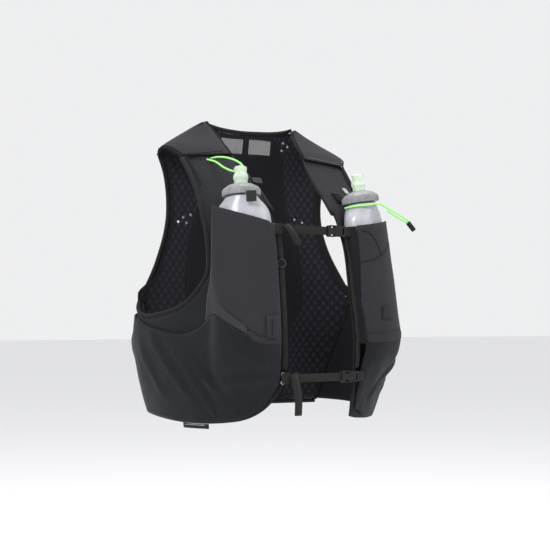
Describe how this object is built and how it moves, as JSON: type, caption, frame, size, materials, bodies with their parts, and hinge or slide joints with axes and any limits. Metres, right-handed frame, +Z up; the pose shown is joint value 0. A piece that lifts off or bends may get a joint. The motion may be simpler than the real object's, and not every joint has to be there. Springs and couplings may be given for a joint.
{
  "type": "running hydration vest",
  "caption": "Open-front running vest of stretch mesh with chest flask pockets, sternum straps, daisy chain rails and two soft flasks, held in its worn form.",
  "frame": {"origin": "between the shoulder seats, at the height of the neck edge's highest point, in the plane of symmetry of the vest's form", "axes": "+Z up, the wearer faces -Y, the wearer's right is -X"},
  "size_m": [0.3524, 0.2303, 0.4019],
  "materials": {
    "mesh": "perforated stretch mesh, matte",
    "smooth": "smooth stretch knit with a faint sheen",
    "binding": "ribbed elastic binding",
    "webbing": "narrow woven webbing",
    "hard": "moulded, fine grain",
    "cord": "braided elastic cord",
    "valve": "translucent soft rubber",
    "cap": "translucent, satin",
    "flask": "thin translucent film, satin",
    "light": "satin"
  },
  "bodies": {
    "vest": {"right_front_panel": "mesh", "right_yoke": "smooth", "right_armhole_binding": "binding", "right_bottle_pocket": "smooth", "right_lower_pocket": "mesh", "right_pocket_band": "webbing", "right_rail": "webbing", "right_flask_body": "flask", "left_front_panel": "mesh", "left_yoke": "smooth", "left_armhole_binding": "binding", "left_bottle_pocket": "smooth", "left_lower_pocket": "mesh", "left_pocket_band": "webbing", "left_rail": "webbing", "left_flask_body": "flask", "back_panel": "mesh", "neck_binding": "binding", "back_hem_binding": "binding", "right_cap_tab": "hard", "upper_strap_anchor": "webbing", "upper_strap_slider": "hard", "upper_strap_webbing": "webbing", "upper_strap_buckle_socket": "hard", "upper_strap_buckle_plug": "hard", "upper_strap_left_anchor": "webbing", "upper_strap_tail": "webbing", "upper_snap": "light", "lower_strap_anchor": "webbing", "lower_strap_slider": "hard", "lower_strap_webbing": "webbing", "lower_strap_buckle_socket": "hard", "lower_strap_buckle_plug": "hard", "lower_strap_left_anchor": "webbing", "lower_strap_tail": "webbing", "lower_snap": "light", "zip_pocket": "binding", "side_tab": "binding", "hem_tab": "webbing", "rail_hook_loop": "binding", "right_pull_tab": "mesh", "strap_clip": "hard", "strap_reflector": "light", "right_retainer_cord": "cord", "left_retainer_cord": "cord", "left_retainer_strand": "cord", "left_cord_end": "hard"},
    "right_cap": {"right_flask_cap": "cap", "right_bite_valve": "valve"},
    "left_cap": {"left_flask_cap": "cap", "left_bite_valve": "valve"}
  },
  "joints": [
    {"name": "right_cap_turn", "type": "hinge", "parent": "vest", "child": "right_cap", "pos_m": [-0.083, -0.13969, -0.1187], "axis": [0, 0.1045, 0.9945], "range_deg": [0, 360]},
    {"name": "left_cap_turn", "type": "hinge", "parent": "vest", "child": "left_cap", "pos_m": [0.08296, -0.13971, -0.1187], "axis": [-0.1307, 0.0346, 0.9908], "range_deg": [0, 360]}
  ]
}
